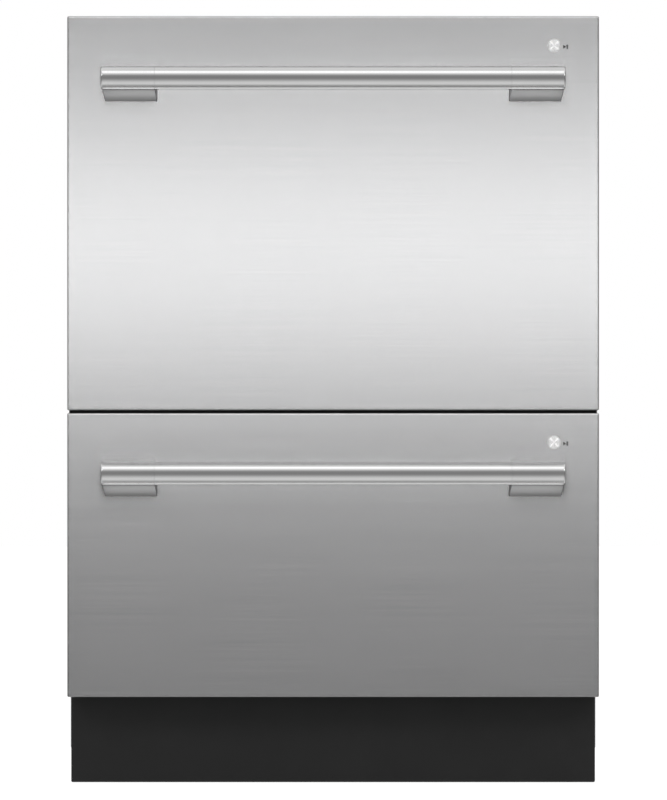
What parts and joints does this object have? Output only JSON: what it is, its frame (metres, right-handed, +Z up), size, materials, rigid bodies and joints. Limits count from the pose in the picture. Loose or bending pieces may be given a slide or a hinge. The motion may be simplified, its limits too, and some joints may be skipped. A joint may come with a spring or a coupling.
{
  "type": "dishwasher drawer",
  "caption": "Built-in drawer dishwasher: steel fronts with bar handles pull out wash tubs on telescopic slides, with racks, spray arms and lowering lids, in a sheet metal chassis.",
  "frame": {"origin": "on the floor, under the middle of the whole object's outline, handles included", "axes": "+Z up, the drawer fronts face -Y, +X to the right seen from the front"},
  "size_m": [0.599, 0.628, 0.864],
  "materials": {
    "brushed_steel": "horizontally brushed stainless steel",
    "polished_steel": "satin polished stainless tube",
    "satin_metal": "satin cast metal",
    "spun_metal": "spun metal",
    "galvanised_steel": "galvanised sheet",
    "slide_steel": "zinc plated slide steel",
    "dark_steel": "black zinc",
    "black_trim": "satin black",
    "black_glass": "glossy black touch strip",
    "tub_plastic": "satin grey moulded tub",
    "pale_plastic": "pale grey moulding",
    "grey_plastic": "mid grey moulding",
    "dark_plastic": "dark grey moulding",
    "basket_plastic": "blue grey moulding",
    "rack_wire": "nylon coated wire",
    "foot_plastic": "black moulding on a steel stud",
    "rubber": "soft rubber"
  },
  "bodies": {
    "cabinet": {"left_side_panel": "galvanised_steel", "right_side_panel": "galvanised_steel", "back_panel": "galvanised_steel", "top_panel": "galvanised_steel", "base_tray": "galvanised_steel", "divider_shelf": "galvanised_steel", "divider_trim": "black_trim", "toe_kick": "black_trim", "fixed_rails": "slide_steel", "cabinet_brackets": "galvanised_steel", "inlet_valve": "pale_plastic", "drain_joiner": "dark_plastic", "chassis_screws": "dark_steel", "lid_actuators": "dark_plastic"},
    "front_left_foot": {"front_left_foot": "foot_plastic"},
    "front_right_foot": {"front_right_foot": "foot_plastic"},
    "rear_left_foot": {"rear_left_foot": "foot_plastic"},
    "rear_right_foot": {"rear_right_foot": "foot_plastic"},
    "lower_drawer": {"lower_front_panel": "brushed_steel", "lower_front_liner": "grey_plastic", "lower_handle_bar": "polished_steel", "lower_handle_brackets": "satin_metal", "lower_control_fascia": "black_glass", "lower_tub": "tub_plastic", "lower_drawer_rails": "slide_steel", "lower_filter_plate": "dark_plastic", "lower_wash_motor": "dark_plastic", "lower_rack": "rack_wire", "lower_cutlery_basket": "basket_plastic", "lower_dispenser": "pale_plastic"},
    "lower_mid_rails": {"lower_mid_rails": "slide_steel"},
    "lower_start_button": {"lower_start_button": "spun_metal"},
    "lower_spray_arm": {"lower_spray_arm": "grey_plastic"},
    "lower_rotor": {"lower_rotor": "dark_plastic"},
    "lower_fold_tines": {"lower_fold_tines": "rack_wire"},
    "lower_cup_shelf": {"lower_cup_shelf": "grey_plastic"},
    "lower_dispenser_cover": {"lower_dispenser_cover": "grey_plastic"},
    "lower_lid": {"lower_lid": "pale_plastic", "lower_lid_seal": "rubber"},
    "upper_drawer": {"upper_front_panel": "brushed_steel", "upper_front_liner": "grey_plastic", "upper_handle_bar": "polished_steel", "upper_handle_brackets": "satin_metal", "upper_control_fascia": "black_glass", "upper_tub": "tub_plastic", "upper_drawer_rails": "slide_steel", "upper_filter_plate": "dark_plastic", "upper_wash_motor": "dark_plastic", "upper_rack": "rack_wire", "upper_cutlery_basket": "basket_plastic", "upper_dispenser": "pale_plastic"},
    "upper_mid_rails": {"upper_mid_rails": "slide_steel"},
    "upper_start_button": {"upper_start_button": "spun_metal"},
    "upper_spray_arm": {"upper_spray_arm": "grey_plastic"},
    "upper_rotor": {"upper_rotor": "dark_plastic"},
    "upper_fold_tines": {"upper_fold_tines": "rack_wire"},
    "upper_cup_shelf": {"upper_cup_shelf": "grey_plastic"},
    "upper_dispenser_cover": {"upper_dispenser_cover": "grey_plastic"},
    "upper_lid": {"upper_lid": "pale_plastic", "upper_lid_seal": "rubber"}
  },
  "joints": [
    {"name": "front_left_foot_level", "type": "slide", "parent": "cabinet", "child": "front_left_foot", "axis": [0, 0, -1], "range_m": [0, 0.062]},
    {"name": "front_right_foot_level", "type": "slide", "parent": "cabinet", "child": "front_right_foot", "axis": [0, 0, -1], "range_m": [0, 0.062]},
    {"name": "rear_left_foot_level", "type": "slide", "parent": "cabinet", "child": "rear_left_foot", "axis": [0, 0, -1], "range_m": [0, 0.062]},
    {"name": "rear_right_foot_level", "type": "slide", "parent": "cabinet", "child": "rear_right_foot", "axis": [0, 0, -1], "range_m": [0, 0.062]},
    {"name": "lower_drawer_slide", "type": "slide", "parent": "cabinet", "child": "lower_drawer", "axis": [0, -1, 0], "range_m": [0, 0.47]},
    {"name": "lower_mid_rails_slide", "type": "slide", "parent": "cabinet", "child": "lower_mid_rails", "axis": [0, -1, 0], "range_m": [0, 0.235]},
    {"name": "lower_start_press", "type": "slide", "parent": "lower_drawer", "child": "lower_start_button", "axis": [0, 1, 0], "range_m": [0, 0.0015], "stiffness_N_per_m": 900, "springref_m": -0.001},
    {"name": "lower_spray_spin", "type": "hinge", "parent": "lower_drawer", "child": "lower_spray_arm", "pos_m": [0, 0.038, 0.168], "axis": [0, 0, 1], "continuous": true},
    {"name": "lower_rotor_spin", "type": "hinge", "parent": "lower_drawer", "child": "lower_rotor", "pos_m": [0, 0.038, 0.132], "axis": [0, 0, 1], "continuous": true},
    {"name": "lower_dispenser_slide", "type": "slide", "parent": "lower_drawer", "child": "lower_dispenser_cover", "axis": [1, 0, 0], "range_m": [0, 0.05]},
    {"name": "lower_tines_fold", "type": "hinge", "parent": "lower_drawer", "child": "lower_fold_tines", "pos_m": [0, -0.0395, 0.2009], "axis": [1, 0, 0], "range_deg": [0, 88]},
    {"name": "lower_cup_shelf_fold", "type": "hinge", "parent": "lower_drawer", "child": "lower_cup_shelf", "pos_m": [-0.24395, 0.0225, 0.262], "axis": [0, -1, 0], "range_deg": [0, 80]},
    {"name": "lower_lid_lower", "type": "slide", "parent": "cabinet", "child": "lower_lid", "axis": [0, 0, -1], "range_m": [0, 0.0097]},
    {"name": "upper_drawer_slide", "type": "slide", "parent": "cabinet", "child": "upper_drawer", "axis": [0, -1, 0], "range_m": [0, 0.47]},
    {"name": "upper_mid_rails_slide", "type": "slide", "parent": "cabinet", "child": "upper_mid_rails", "axis": [0, -1, 0], "range_m": [0, 0.235]},
    {"name": "upper_start_press", "type": "slide", "parent": "upper_drawer", "child": "upper_start_button", "axis": [0, 1, 0], "range_m": [0, 0.0015], "stiffness_N_per_m": 900, "springref_m": -0.001},
    {"name": "upper_spray_spin", "type": "hinge", "parent": "upper_drawer", "child": "upper_spray_arm", "pos_m": [0, 0.038, 0.491], "axis": [0, 0, 1], "continuous": true},
    {"name": "upper_rotor_spin", "type": "hinge", "parent": "upper_drawer", "child": "upper_rotor", "pos_m": [0, 0.038, 0.455], "axis": [0, 0, 1], "continuous": true},
    {"name": "upper_dispenser_slide", "type": "slide", "parent": "upper_drawer", "child": "upper_dispenser_cover", "axis": [1, 0, 0], "range_m": [0, 0.05]},
    {"name": "upper_tines_fold", "type": "hinge", "parent": "upper_drawer", "child": "upper_fold_tines", "pos_m": [0, -0.0395, 0.5239], "axis": [1, 0, 0], "range_deg": [0, 88]},
    {"name": "upper_cup_shelf_fold", "type": "hinge", "parent": "upper_drawer", "child": "upper_cup_shelf", "pos_m": [-0.24395, 0.0225, 0.709], "axis": [0, -1, 0], "range_deg": [0, 80]},
    {"name": "upper_lid_lower", "type": "slide", "parent": "cabinet", "child": "upper_lid", "axis": [0, 0, -1], "range_m": [0, 0.0097]}
  ],
  "couplings": [
    {"joint": "lower_mid_rails_slide", "follows": "lower_drawer_slide", "ratio": 0.5},
    {"joint": "upper_mid_rails_slide", "follows": "upper_drawer_slide", "ratio": 0.5}
  ]
}
